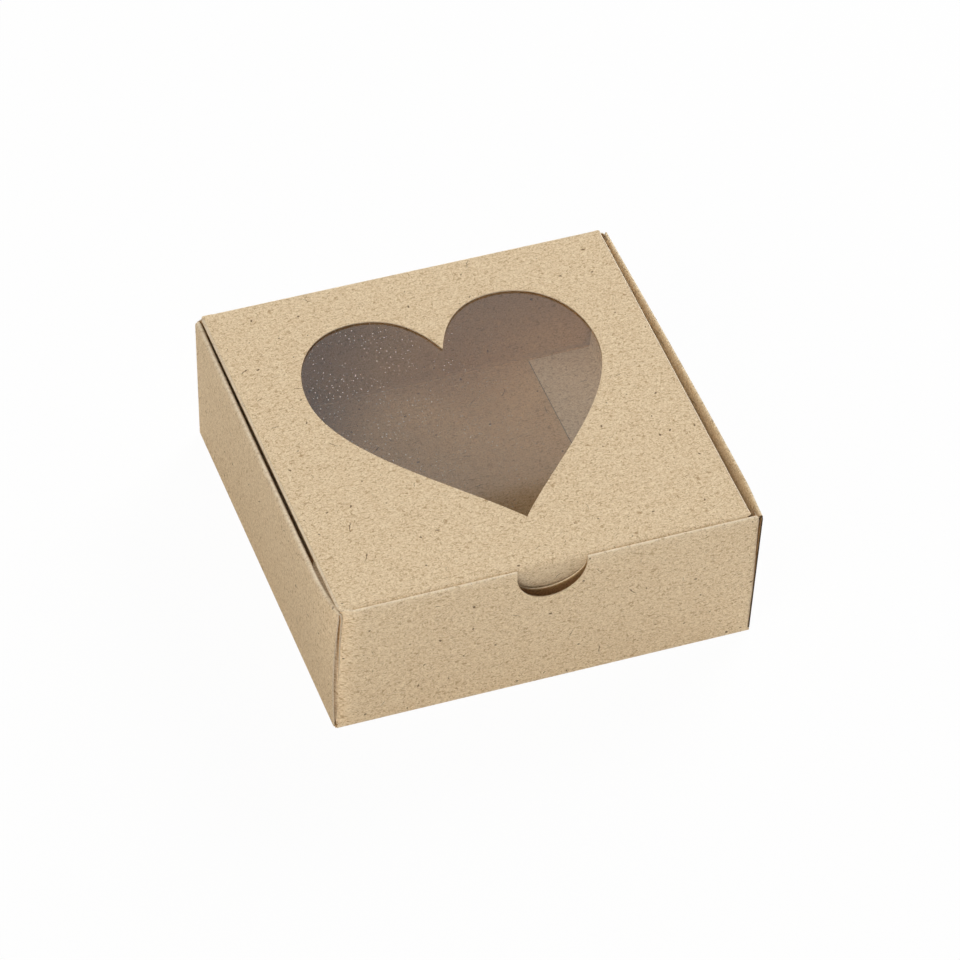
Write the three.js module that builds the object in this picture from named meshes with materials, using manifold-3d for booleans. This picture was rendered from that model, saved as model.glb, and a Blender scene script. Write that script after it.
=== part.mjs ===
// A window gift box, folded from one creased board blank, with a heart window in its lid.
// Millimetres, +Z up. The front wall with the thumb notch faces -Y, and the origin is under the box's middle.

import * as THREE from 'three';
import { mergeVertices } from 'three/addons/utils/BufferGeometryUtils.js';
import Module from 'manifold-3d';

const wasm = await Module();
wasm.setup();

// Board and creases
const BOARD = 0.4;
const CREASE_RADIUS = 0.25;
const SCORE_GAP = 0.05;
const FOLD_FIT = 0.35;
const BEND_STEPS = 5;
const ROUND_STEPS = 10;
const CREASE_SIDES = 12;
const SAME_POINT = 1e-6;

// Tray
const BASE_WIDTH = 100;
const BASE_DEPTH = 98.8;
const FRONT_HEIGHT = 37.4;
const SIDE_DROP = 0.9;
const SIDE_FLARE = 0.8;
const INNER_WALL_LEAN = 0.9;
const FLANGE_WIDTH = 15.8;
const HEM_LENGTH = 18;
const HEM_SLANT = THREE.MathUtils.degToRad(14);
const HEM_INSET = 0.65;
const HEM_TAPER = 1.5;
const CORNER_FLAP_LENGTH = 27;
const CORNER_FLAP_TAPER = 5;
const CORNER_RELIEF = 0.25;

// Thumb notch, cut through the front wall and its hem
const NOTCH_RADIUS = 8.4;
const NOTCH_DEPTH = 9.4;
const NOTCH_STEPS = 40;
const CUT_REACH = 3;

// Lid, with its tuck flap and its two ears
const LID_RISE = 0.1;
const LID_INSET = 0.8;
const FLAP_LENGTH = 22;
const FLAP_SLANT = THREE.MathUtils.degToRad(16);
const FLAP_CORNER_RADIUS = 8;
const EAR_DEPTH = 20;
const EAR_FRONT_STRIP = 3.2;
const EAR_SLANT = THREE.MathUtils.degToRad(4);
const EAR_CORNER_RADIUS = 6;
const EAR_BACK_TAPER = 3;
const MITRE_GAP = 0.5;

// Heart window, measured from the lid's middle line and from the box's middle
const HEART_HALF_WIDTH = 35.2;
const HEART_WIDEST_Y = 16.3;
const HEART_TIP_Y = -33.4;
const HEART_CUSP_Y = 23;
const LOBE_X = 17.4;
const LOBE_TOP_Y = 37.1;
const TIP_PULL = new THREE.Vector2(11.6, 14.4);
const CUSP_PULL = new THREE.Vector2(3, 7.9);
const WAIST_PULL = 18.3;
const SHOULDER_PULL = 12.4;
const LOBE_OUTER_PULL = 10.2;
const LOBE_INNER_PULL = 9.3;
const HEART_STEPS = 16;

// Film and its glue line
const FILM = 0.1;
const GLUE = 0.1;
const FILM_MARGIN = 4.4;
const GLUE_EDGE = 0.6;
const GLUE_WIDTH = 2;

// Sizes that follow from the ones above
const bendMiddle = CREASE_RADIUS + BOARD / 2;
const bendOuter = CREASE_RADIUS + BOARD;
const halfWidth = BASE_WIDTH / 2;
const halfDepth = BASE_DEPTH / 2;
const sideHeight = FRONT_HEIGHT - SIDE_DROP;
const rollWidth = 3 * BOARD + 2 * SCORE_GAP;
const rollMiddle = (rollWidth - BOARD) / 2;
const rollCentre = new THREE.Vector2(halfWidth - rollWidth / 2, sideHeight - rollWidth / 2);
const sideHalfLength = halfDepth - bendOuter - SCORE_GAP;
const innerHalfLength = halfDepth - BOARD - FOLD_FIT;
const endHalfWidth = halfWidth - BOARD - SCORE_GAP - bendOuter;
const hemMiddle = (BOARD + SCORE_GAP) / 2;
const hemCentre = new THREE.Vector2(-halfDepth + BOARD / 2 + hemMiddle, FRONT_HEIGHT - hemMiddle - BOARD / 2);
const hemHalfWidth = endHalfWidth - HEM_INSET;
const cornerFlapTop = rollCentre.y - SCORE_GAP;
const creaseReach = BOARD + SCORE_GAP;
const foldHeight = FRONT_HEIGHT + LID_RISE - BOARD;
const lidHinge = halfDepth - BOARD;
const flapHinge = -halfDepth + 2 * BOARD + SCORE_GAP + FOLD_FIT + BOARD;
const earHinge = halfWidth - LID_INSET - BOARD;

const board = (color) => new THREE.MeshStandardMaterial({ color, roughness: 0.92, metalness: 0 });
const facing = board(0xd0b488);
const lining = board(0xc0a27a);
const crease = board(0xdcc39a);
const clear = new THREE.MeshStandardMaterial({
  color: 0xe8ecee, roughness: 0.08, metalness: 0, transparent: true, opacity: 0.3,
});
const glue = new THREE.MeshStandardMaterial({ color: 0xefe6cf, roughness: 0.5, metalness: 0 });

// Joins the corners that triangles share, so that only positions are left
function welded(geometry) {
  geometry.deleteAttribute('normal');
  geometry.deleteAttribute('uv');
  return mergeVertices(geometry);
}

function extruded(shape, length) {
  return new THREE.ExtrudeGeometry(shape, { depth: length, bevelEnabled: false, curveSegments: BEND_STEPS });
}

// A shape drawn in Y and Z, run along X
function alongX(shape, from, to) {
  const turn = new THREE.Matrix4().makeBasis(
    new THREE.Vector3(0, 1, 0), new THREE.Vector3(0, 0, 1), new THREE.Vector3(1, 0, 0));
  return welded(extruded(shape, to - from).applyMatrix4(turn).translate(from, 0, 0));
}

// A shape drawn in X and Z, run along Y
function alongY(shape, from, to) {
  const turn = new THREE.Matrix4().makeBasis(
    new THREE.Vector3(1, 0, 0), new THREE.Vector3(0, 0, 1), new THREE.Vector3(0, -1, 0));
  return welded(extruded(shape, to - from).applyMatrix4(turn).translate(0, to, 0));
}

// A shape drawn in X and Y, run along Z
function alongZ(shape, from, to) {
  return welded(extruded(shape, to - from).translate(0, 0, from));
}

function outline(...corners) {
  return new THREE.Shape(corners.map(([x, y]) => new THREE.Vector2(x, y)));
}

function rectangle(left, right, low, high) {
  return outline([left, low], [right, low], [right, high], [left, high]);
}

function toSolid(geometry) {
  return new wasm.Manifold(new wasm.Mesh({
    numProp: 3,
    vertProperties: new Float32Array(geometry.attributes.position.array),
    triVerts: new Uint32Array(geometry.index.array),
  }));
}

function fromSolid(solid) {
  const mesh = solid.getMesh();
  const geometry = new THREE.BufferGeometry();
  geometry.setAttribute('position', new THREE.BufferAttribute(new Float32Array(mesh.vertProperties), 3));
  geometry.setIndex(new THREE.BufferAttribute(new Uint32Array(mesh.triVerts), 1));
  return geometry;
}

function cut(geometry, tool) {
  return fromSolid(toSolid(geometry).subtract(toSolid(tool)));
}

function kept(geometry, tool) {
  return fromSolid(toSolid(geometry).intersect(toSolid(tool)));
}

// A mirror image, with its triangles turned over so that they still face out
function mirrored(geometry, x, y) {
  const copy = geometry.clone().scale(x, y, 1);
  const { index } = copy;
  for (let corner = 0; x * y < 0 && corner < index.count; corner += 3) {
    const first = index.getX(corner);
    index.setX(corner, index.getX(corner + 2));
    index.setX(corner + 2, first);
  }
  return copy;
}

// The double side walls spring outwards, so the tray widens evenly towards its open top
function flared(geometry) {
  const { position } = geometry.attributes;
  for (let corner = 0; corner < position.count; corner += 1) {
    const widening = (SIDE_FLARE / halfWidth) * (position.getZ(corner) / sideHeight);
    position.setX(corner, position.getX(corner) * (1 + widening));
  }
  return geometry;
}

// Points of an arc, ends included
function arc(centre, radius, from, to, steps = BEND_STEPS) {
  return Array.from({ length: steps + 1 }, (unused, step) => {
    const angle = from + ((to - from) * step) / steps;
    return new THREE.Vector2(centre.x + radius * Math.cos(angle), centre.y + radius * Math.sin(angle));
  });
}

// Points of a line whose inner corners are rounded, without the points that fall on their neighbours
function roundedLine(corners, radius, steps = BEND_STEPS) {
  const points = corners.flatMap((corner, place) => {
    if (place === 0 || place === corners.length - 1) return [corner];
    const arriving = corner.clone().sub(corners[place - 1]).normalize();
    const leaving = corners[place + 1].clone().sub(corner).normalize();
    const turn = Math.atan2(arriving.cross(leaving), arriving.dot(leaving));
    const side = Math.sign(turn);
    const begin = corner.clone().addScaledVector(arriving, -radius * Math.tan(Math.abs(turn) / 2));
    const across = new THREE.Vector2(-arriving.y, arriving.x).multiplyScalar(side * radius);
    const start = Math.atan2(-across.y, -across.x);
    return arc(begin.add(across), radius, start, start + turn, steps);
  });
  return points.filter((point, place) => place === 0 || point.distanceTo(points[place - 1]) > SAME_POINT);
}

// The section of a bent board whose middle line runs through the points
function boardSection(points) {
  const steps = points.slice(1).map((point, place) => point.clone().sub(points[place]).normalize());
  const edges = points.map((point, place) => {
    const arriving = steps[Math.max(place - 1, 0)];
    const leaving = steps[Math.min(place, steps.length - 1)];
    const along = arriving.clone().add(leaving).normalize();
    const across = new THREE.Vector2(-along.y, along.x);
    return { point, across: across.multiplyScalar(BOARD / 2 / along.dot(arriving)) };
  });
  const left = edges.map(({ point, across }) => point.clone().add(across));
  const right = edges.map(({ point, across }) => point.clone().sub(across));
  return new THREE.Shape([...right, ...left.reverse()]);
}

function part(name, geometry, material) {
  const mesh = new THREE.Mesh(geometry, material);
  mesh.name = name;
  return mesh;
}

function bottomPanel() {
  const edgeX = halfWidth - bendOuter - SCORE_GAP;
  const edgeY = halfDepth - bendOuter - SCORE_GAP;
  return alongZ(rectangle(-edgeX, edgeX, -edgeY, edgeY), 0, BOARD);
}

// Right side wall with its rounded bottom crease
function sideWall() {
  const middle = roundedLine([
    new THREE.Vector2(halfWidth - bendOuter, BOARD / 2),
    new THREE.Vector2(halfWidth - BOARD / 2, BOARD / 2),
    new THREE.Vector2(halfWidth - BOARD / 2, rollCentre.y - SCORE_GAP),
  ], bendMiddle);
  return alongY(boardSection(middle), -sideHalfLength, sideHalfLength);
}

// The board rolls over the top of the right side wall
function topFold() {
  const middle = arc(rollCentre, rollMiddle, 0, Math.PI, ROUND_STEPS);
  return alongY(boardSection(middle), -sideHalfLength, sideHalfLength);
}

// Inner layer of the right side wall, with the crease of its floor flange
const innerFoot = new THREE.Vector2(rollCentre.x - rollMiddle - INNER_WALL_LEAN, 1.5 * BOARD + SCORE_GAP);
const flangeStart = innerFoot.x - bendMiddle - BOARD / 2;

function innerWall() {
  const middle = roundedLine([
    new THREE.Vector2(rollCentre.x - rollMiddle, rollCentre.y - SCORE_GAP),
    innerFoot,
    new THREE.Vector2(flangeStart, innerFoot.y),
  ], bendMiddle);
  return alongY(boardSection(middle), -innerHalfLength, innerHalfLength);
}

function floorFlange() {
  const start = new THREE.Vector2(flangeStart - SCORE_GAP, innerFoot.y);
  const edge = new THREE.Vector2(innerFoot.x - BOARD / 2 - FLANGE_WIDTH, innerFoot.y);
  return alongY(boardSection([start, edge]), -innerHalfLength, innerHalfLength);
}

// An end wall in the place of the front one, with its rounded bottom crease
function endWall(top) {
  const middle = roundedLine([
    new THREE.Vector2(-halfDepth + bendOuter, BOARD / 2),
    new THREE.Vector2(-halfDepth + BOARD / 2, BOARD / 2),
    new THREE.Vector2(-halfDepth + BOARD / 2, top),
  ], bendMiddle);
  return alongX(boardSection(middle), -endHalfWidth, endHalfWidth);
}

// The notch is a half circle with short straight sides, down from the folded top edge
function notchTool() {
  const centre = new THREE.Vector2(0, FRONT_HEIGHT - NOTCH_DEPTH + NOTCH_RADIUS);
  const shape = new THREE.Shape([
    new THREE.Vector2(-NOTCH_RADIUS, FRONT_HEIGHT + CUT_REACH),
    ...arc(centre, NOTCH_RADIUS, Math.PI, 2 * Math.PI, NOTCH_STEPS),
    new THREE.Vector2(NOTCH_RADIUS, FRONT_HEIGHT + CUT_REACH),
  ]);
  return alongY(shape, hemCentre.x - CUT_REACH, hemCentre.x + CUT_REACH);
}

// The front wall is as wide as its corner flaps are tall, and above them it narrows to the hem's crease
function frontWall() {
  const silhouette = alongY(outline(
    [-endHalfWidth, 0],
    [endHalfWidth, 0],
    [endHalfWidth, cornerFlapTop],
    [hemHalfWidth, hemCentre.y],
    [-hemHalfWidth, hemCentre.y],
    [-endHalfWidth, cornerFlapTop],
  ), -halfDepth - CUT_REACH, -halfDepth + CUT_REACH);
  return cut(kept(endWall(hemCentre.y - SCORE_GAP), silhouette), notchTool());
}

// The hem folds back from the front wall's top edge and springs away from it
function frontHem() {
  const fold = arc(hemCentre, hemMiddle, Math.PI, HEM_SLANT, ROUND_STEPS);
  const down = new THREE.Vector2(Math.sin(HEM_SLANT), -Math.cos(HEM_SLANT));
  const end = fold[fold.length - 1].clone().addScaledVector(down, HEM_LENGTH);
  const silhouette = alongY(outline(
    [-hemHalfWidth + HEM_TAPER, end.y],
    [hemHalfWidth - HEM_TAPER, end.y],
    [hemHalfWidth, hemCentre.y],
    [hemHalfWidth, FRONT_HEIGHT],
    [-hemHalfWidth, FRONT_HEIGHT],
    [-hemHalfWidth, hemCentre.y],
  ), -halfDepth - CUT_REACH, 0);
  const tool = notchTool()
    .translate(0, -hemCentre.x, -hemCentre.y)
    .rotateX(HEM_SLANT)
    .translate(0, hemCentre.x, hemCentre.y);
  const sheet = alongX(boardSection([...fold, end]), -hemHalfWidth - CUT_REACH, hemHalfWidth + CUT_REACH);
  return cut(kept(sheet, silhouette), tool);
}

function backWall() {
  return mirrored(endWall(foldHeight - creaseReach), 1, -1);
}

// Corner flap at the front right: it turns back from the front wall and lies inside the double side wall
function cornerFlap() {
  const wall = endHalfWidth + bendOuter - BOARD / 2;
  const middle = roundedLine([
    new THREE.Vector2(endHalfWidth + SCORE_GAP, -halfDepth + BOARD / 2),
    new THREE.Vector2(wall, -halfDepth + BOARD / 2),
    new THREE.Vector2(wall, -halfDepth + CORNER_FLAP_LENGTH),
  ], bendMiddle - SCORE_GAP);
  const low = bendOuter + CORNER_RELIEF;
  const high = cornerFlapTop;
  const corner = -halfDepth + bendOuter + BOARD;
  const end = -halfDepth + CORNER_FLAP_LENGTH;
  const silhouette = alongX(outline(
    [-halfDepth - BOARD, low],
    [corner, low],
    [end, low + CORNER_FLAP_TAPER],
    [end, high - CORNER_FLAP_TAPER],
    [corner, high],
    [-halfDepth - BOARD, high],
  ), 0, halfWidth);
  return kept(alongZ(boardSection(middle), 0, sideHeight), silhouette);
}

// The heart: its right half runs from the tip round the lobe to the cusp, and its left half mirrors it
function heart() {
  const half = new THREE.Path();
  half.moveTo(0, HEART_TIP_Y);
  half.bezierCurveTo(
    TIP_PULL.x, HEART_TIP_Y + TIP_PULL.y,
    HEART_HALF_WIDTH, HEART_WIDEST_Y - WAIST_PULL,
    HEART_HALF_WIDTH, HEART_WIDEST_Y);
  half.bezierCurveTo(
    HEART_HALF_WIDTH, HEART_WIDEST_Y + SHOULDER_PULL,
    LOBE_X + LOBE_OUTER_PULL, LOBE_TOP_Y,
    LOBE_X, LOBE_TOP_Y);
  half.bezierCurveTo(
    LOBE_X - LOBE_INNER_PULL, LOBE_TOP_Y,
    CUSP_PULL.x, HEART_CUSP_Y + CUSP_PULL.y,
    0, HEART_CUSP_Y);
  const right = half.getPoints(HEART_STEPS);
  const left = right.slice(1, -1).reverse().map(({ x, y }) => new THREE.Vector2(-x, y));
  return new THREE.Path([...right, ...left]);
}

// Lid panel, in the frame of the lid's hinge
function lidPanel() {
  const edge = earHinge - creaseReach;
  const shape = rectangle(-edge, edge, flapHinge + creaseReach, lidHinge - creaseReach);
  shape.holes.push(heart());
  return alongZ(shape, 0, BOARD).translate(0, -lidHinge, 0);
}

const filmEdge = {
  left: -HEART_HALF_WIDTH - FILM_MARGIN,
  right: HEART_HALF_WIDTH + FILM_MARGIN,
  low: HEART_TIP_Y - FILM_MARGIN,
  high: LOBE_TOP_Y + FILM_MARGIN,
};

function filmRectangle(inset) {
  const { left, right, low, high } = filmEdge;
  return rectangle(left + inset, right - inset, low + inset, high - inset);
}

function windowFilm() {
  return alongZ(filmRectangle(0), -GLUE - FILM, -GLUE).translate(0, -lidHinge, 0);
}

function filmGlue() {
  const shape = filmRectangle(GLUE_EDGE);
  shape.holes.push(filmRectangle(GLUE_EDGE + GLUE_WIDTH));
  return alongZ(shape, -GLUE, 0).translate(0, -lidHinge, 0);
}

// The rounded ridge of a moving crease, round its axis
function creaseRod(halfLength) {
  return welded(new THREE.CylinderGeometry(BOARD, BOARD, 2 * halfLength, CREASE_SIDES));
}

// Tuck flap, hanging from its hinge: mitred beside the ears, with round free corners
function tuckFlap() {
  const root = earHinge - MITRE_GAP;
  const side = root - EAR_FRONT_STRIP;
  const free = roundedLine([
    new THREE.Vector2(-root, -creaseReach),
    new THREE.Vector2(-side, -creaseReach - EAR_FRONT_STRIP),
    new THREE.Vector2(-side, -FLAP_LENGTH),
    new THREE.Vector2(0, -FLAP_LENGTH),
  ].slice(1), FLAP_CORNER_RADIUS, ROUND_STEPS);
  const left = [new THREE.Vector2(-root, -creaseReach), ...free.slice(0, -1)];
  const right = left.map(({ x, y }) => new THREE.Vector2(-x, y)).reverse();
  return alongY(new THREE.Shape([...left, ...right]), -BOARD, 0);
}

// Right ear, hanging from its hinge: shallow beside the tuck flap, deep behind it
function ear() {
  const front = flapHinge + MITRE_GAP;
  const step = flapHinge + FLAP_LENGTH + FOLD_FIT;
  const back = lidHinge - BOARD - MITRE_GAP;
  const strip = -creaseReach - EAR_FRONT_STRIP;
  const edge = roundedLine([
    new THREE.Vector2(front + EAR_FRONT_STRIP, strip),
    new THREE.Vector2(step, strip),
    new THREE.Vector2(step, -EAR_DEPTH),
    new THREE.Vector2(back - EAR_BACK_TAPER, -EAR_DEPTH),
    new THREE.Vector2(back, -creaseReach),
  ], EAR_CORNER_RADIUS, ROUND_STEPS);
  return alongX(new THREE.Shape([new THREE.Vector2(front, -creaseReach), ...edge]), 0, BOARD);
}

function addPair(group, name, right, material) {
  group.add(part(`right_${name}`, right, material), part(`left_${name}`, mirrored(right, -1, 1), material));
}

function tray() {
  const group = new THREE.Group();
  group.add(part('bottom_panel', flared(bottomPanel()), lining));
  group.add(part('front_wall', flared(frontWall()), facing));
  group.add(part('front_hem', flared(frontHem()), lining));
  group.add(part('back_wall', flared(backWall()), facing));
  addPair(group, 'side_wall', flared(sideWall()), facing);
  addPair(group, 'top_fold', flared(topFold()), facing);
  addPair(group, 'inner_wall', flared(innerWall()), lining);
  addPair(group, 'floor_flange', flared(floorFlange()), lining);
  const frontCorner = flared(cornerFlap());
  addPair(group, 'front_corner_flap', frontCorner, lining);
  addPair(group, 'back_corner_flap', mirrored(frontCorner, 1, -1), lining);
  const lidCrease = part('lid_crease', creaseRod(earHinge - creaseReach), crease);
  lidCrease.rotation.z = Math.PI / 2;
  lidCrease.position.set(0, lidHinge, foldHeight);
  group.add(lidCrease);
  return group;
}

function lid() {
  const group = new THREE.Group();
  group.position.set(0, lidHinge, foldHeight);
  group.add(part('lid_panel', lidPanel(), facing));
  group.add(part('window_film', windowFilm(), clear));
  group.add(part('film_glue', filmGlue(), glue));
  group.add(lidFlap(), lidEar('right_ear', ear(), 1), lidEar('left_ear', mirrored(ear(), -1, 1), -1));
  return group;
}

function lidFlap() {
  const group = new THREE.Group();
  group.position.set(0, flapHinge - lidHinge, 0);
  const flapCrease = part('flap_crease', creaseRod(earHinge - creaseReach), crease);
  flapCrease.rotation.z = Math.PI / 2;
  const hanging = part('tuck_flap', tuckFlap(), facing);
  hanging.rotation.x = FLAP_SLANT;
  group.add(flapCrease, hanging);
  return group;
}

function lidEar(name, geometry, side) {
  const group = new THREE.Group();
  group.position.set(side * earHinge, 0, 0);
  const low = flapHinge + creaseReach;
  const high = lidHinge - creaseReach;
  const earCrease = part(`${name}_crease`, creaseRod((high - low) / 2), crease);
  earCrease.position.y = (low + high) / 2 - lidHinge;
  const hanging = part(name, geometry.translate(0, -lidHinge, 0), facing);
  hanging.rotation.y = side * EAR_SLANT;
  group.add(earCrease, hanging);
  return group;
}

const box = new THREE.Group();
box.add(tray(), lid());

export default box;
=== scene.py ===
"""A kraft board gift box with a heart window: the looks of its boards, creases and film.

Each board is drawn flat, in millimetres, as it lies on the blank, and is then bent into its place in the
frame. The front wall with the thumb notch faces -Y, and the left side wall is the one at -X.
"""

import math

import bpy
import numpy as np
from mathutils import Matrix, Vector
from mathutils.geometry import delaunay_2d_cdt


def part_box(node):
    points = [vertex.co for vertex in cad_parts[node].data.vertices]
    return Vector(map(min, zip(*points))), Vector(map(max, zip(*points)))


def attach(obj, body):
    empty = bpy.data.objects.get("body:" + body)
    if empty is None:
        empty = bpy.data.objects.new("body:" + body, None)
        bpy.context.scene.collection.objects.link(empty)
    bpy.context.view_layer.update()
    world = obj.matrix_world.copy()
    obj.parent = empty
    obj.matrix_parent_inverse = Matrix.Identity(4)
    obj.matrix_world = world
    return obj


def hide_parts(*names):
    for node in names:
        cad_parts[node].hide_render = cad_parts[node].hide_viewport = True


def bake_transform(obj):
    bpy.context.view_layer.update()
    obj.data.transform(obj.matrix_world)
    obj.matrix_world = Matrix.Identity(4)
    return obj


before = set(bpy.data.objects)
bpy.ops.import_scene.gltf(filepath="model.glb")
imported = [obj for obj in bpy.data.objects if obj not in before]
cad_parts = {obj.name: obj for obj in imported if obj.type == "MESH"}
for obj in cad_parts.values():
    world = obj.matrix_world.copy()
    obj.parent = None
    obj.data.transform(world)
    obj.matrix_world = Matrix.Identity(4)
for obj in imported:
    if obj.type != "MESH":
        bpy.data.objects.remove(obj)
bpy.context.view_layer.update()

MM = 0.001

# Sizes that the frame gives, in millimetres
SIDE_HALF_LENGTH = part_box("left_side_wall")[1].y / MM
END_HALF_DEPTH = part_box("back_wall")[1].y / MM
FRONT_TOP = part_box("front_hem")[1].z / MM
SIDE_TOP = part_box("left_top_fold")[1].z / MM
LID_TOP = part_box("lid_panel")[1].z / MM
FLANGE_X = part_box("right_floor_flange")[0].x / MM
HEM_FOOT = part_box("front_hem")[0].z / MM
FLAP_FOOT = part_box("tuck_flap")[0].z / MM
EAR_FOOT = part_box("left_ear")[0].z / MM
EAR_FRONT, EAR_BACK = (corner.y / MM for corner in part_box("left_ear"))
CORNER_LOW, CORNER_HIGH = (corner.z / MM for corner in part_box("left_front_corner_flap"))
CORNER_REACH = -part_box("left_front_corner_flap")[1].y / MM
FILM_LOW, FILM_HIGH = (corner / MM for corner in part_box("window_film"))

# Board and folds
BOARD = 0.34
LIFT = BOARD / 2
BEND = 0.45
FOOT_BEND = 0.12
GAP = 0.04
SEAM = 0.02
PLY_GAP = 2 * (BOARD + GAP)
SHOULDER_DROP = 0.6
# Widths of the paler band along the creases and the roll: rubbed board, and in part a painted highlight.
FOLD_WEAR_AND_HIGHLIGHT = 0.25
ROLL_WEAR_AND_HIGHLIGHT = 0.5

# Side walls, with the left one as side -1 and the right one as side 1
HALF_WIDTH = 50.0
FRONT_REACH = {-1: -0.1, 1: 0.0}
BACK_REACH = 0.6
ROLL_ROUND = {-1: 0.55, 1: 0.21}
ROLL_DEPTH = 1.8
ROLL_SHORTER = 0.3
ROLL_PRESSED = 0.45
PRESSED_RUN = 6.0
INNER_FOOT_X = 47.7
INNER_SHORTER = 0.12
INNER_TAPER = 0.5
INNER_START = 1.0

# How far the made-up sides lean out of square, with runs as shares of the box's depth
HIGHEST_SHARE = 1.03
RIGHT_LEAN = 1.75
RIGHT_LEAN_LOSS = 1.35
RIGHT_BOW = 0.35
RIGHT_BOW_SKEW = 0.85
RIGHT_CURL = 0.5
RIGHT_CURL_RUN = 0.12
RIGHT_FOOT_LEAN = 0.45
LEFT_LEAN = 1.75
LEFT_LEAN_RUN = 0.15
LEFT_LEAN_LOSS = 0.4
LEFT_FOOT_LEAN = 0.3
LEFT_FOOT_LOSS = 0.44
LEFT_BELLY = 0.75

# Front and back walls, with their corner flaps
WALL_Y = END_HALF_DEPTH - LIFT
FLAP_X = HALF_WIDTH - 1.5 * BOARD - GAP
FOOT_HALF_WIDTH = 49.7
FOOT_RISE = 0.4
CORNER_TAPER = 5.0
FRONT_SHOULDER_X = 49.1
FRONT_CORNER_BEND = 0.8
FRONT_GAP = 0.3
FRONT_RECESS = 1.5
RECESS_WIDTH = 1.6
RECESS_RISE = 0.8
PINCH = 0.5
PINCH_LOW = 12.0
PINCH_RISE = 24.0
PINCH_START = 1.0
PINCH_RUN = 8.0
BACK_SHOULDER_X = 48.5
BACK_SKEW = 0.0035
BACK_LEAN_POWER = 1.5
BACK_FOLD_AT = 0.3

# Hem of the front wall
HEM_HALF_WIDTH = 48.3
HEM_TAPER = 1.5
HEM_SLANT = math.radians(14)
HEM_ROUND = (BOARD + GAP) / 2
HEM_EASE = 0.3
HEM_START = 1.2

# Thumb notch
NOTCH_RADIUS = 8.4
NOTCH_DEPTH = 9.95
HEM_NOTCH_DEPTH = 10.25
NOTCH_X = 0.35

# The closed lid sits a little to the left, with its left crease rounder than its right one
LID_LEFT = 49.9
LID_RIGHT = 48.5
LID_FRONT = 48.62
LID_BACK = 49.95
LEFT_ROUND = 0.34
RIGHT_ROUND = 0.22
FRONT_ROUND = 0.42
BACK_ROUND = 0.4
LID_Z = LID_TOP - LIFT
TAB = 0.34
TAB_LENGTH = 0.8
CREASE_RUN = 0.86
BACK_CREASE_INSET = 1.2
BACK_TAB = 1.2 - CREASE_RUN
LEFT_BACK_TAB = LID_LEFT - LID_RIGHT + 0.9
STRIP = 3.2

# Tuck flap
FLAP_SLANT = math.radians(16)
FLAP_CORNER = 8.0
FLAP_INSET = 0.5
FLAP_ROOT_INSET = 0.7
FLAP_CREASE_INSET = 1.2
FLAP_CREASE_LEFT_INSET = 1.4

# Ears, of which the left one first runs in under the wide left edge of the lid
EAR_SLANT = math.radians(4)
EAR_CORNER = 6.0
EAR_BACK_TAPER = 3.0
EAR_SHALLOW = 21.9
EAR_FOLD_AT = 0.2
EAR_ROOT_EASE = 0.1
LEFT_EAR_TURN = math.radians(55)
LEFT_EAR_BEND = 0.6
LEFT_EAR_DROP = 0.8
LEFT_EAR_HANG = 2.8
LEFT_EAR_INSET = 0.1

# Heart window, with the pulls of its curves
HEART_WIDE = np.array([35.2, 16.3])
HEART_TIP = np.array([0.0, -33.6])
HEART_LOBE = np.array([17.4, 37.1])
HEART_CUSP = np.array([0.0, 23.0])
TIP_PULL = np.array([11.58, 14.42])
WAIST_PULL = np.array([0.0, 18.3])
SHOULDER_PULL = np.array([0.0, 12.41])
LOBE_OUTER_PULL = np.array([10.22, 0.0])
LOBE_INNER_PULL = np.array([9.29, 0.0])
CUSP_PULL = np.array([2.98, 7.9])

# Film and glue
FILM = 0.06
FILM_DROP = 0.2
FILM_CORNER = 2.0
FILM_JOIN = 0.1
GLUE_INSET = 0.6
GLUE_HEART = 1.05

# Steps along edges and curves, and the lattice that the boards are divided by
STEP = 2.0
EDGE_STEP = 0.7
ROUND_STEPS = 8
CURVE_STEPS = 40
NEAREST_STEPS = 5000
ACROSS = np.arange(-52, 53, STEP)
SAME_PLACE = 1e-7
LATTICE_EDGE = 0.5
LATTICE_CLEARANCE = 0.25
SHARP_ANGLE = math.radians(50)

# How far off the lid and floor the walls and the ears are drawn, so that they show other grain
WALL_APART = 300
EAR_APART = 400


# Flat drawing


def points_inside(points, loop):
    """Which points lie inside the closed loop, by counting the sides that they would cross."""
    x, y = points[:, 0], points[:, 1]
    inside = np.zeros(len(points), bool)
    for (ax, ay), (bx, by) in zip(loop, np.roll(loop, -1, axis=0)):
        if ay != by:
            crosses = (ay > y) != (by > y)
            inside ^= crosses & (x < (bx - ax) * (y - ay) / (by - ay) + ax)
    return inside


def distance_to(points, loop):
    """Each point's distance to the nearest side of the closed loop."""
    nearest = np.full(len(points), np.inf)
    for a, b in zip(loop, np.roll(loop, -1, axis=0)):
        side = b - a
        along = np.clip((points - a) @ side / max(side @ side, 1e-12), 0, 1)
        nearest = np.minimum(nearest, np.linalg.norm(points - a - along[:, None] * side, axis=1))
    return nearest


def resampled(loop, longest):
    """A closed loop with points added, so that no side is longer than longest."""
    points = []
    for a, b in zip(loop, np.roll(loop, -1, axis=0)):
        count = max(1, math.ceil(np.linalg.norm(b - a) / longest))
        points.extend(a + (b - a) * step / count for step in range(count))
    return np.array(points)


def arc(centre, radius, start, end, steps=ROUND_STEPS):
    """Points of an arc, both ends included."""
    angles = np.linspace(start, end, steps + 1)
    return [np.array([centre[0] + radius * math.cos(a), centre[1] + radius * math.sin(a)]) for a in angles]


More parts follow.
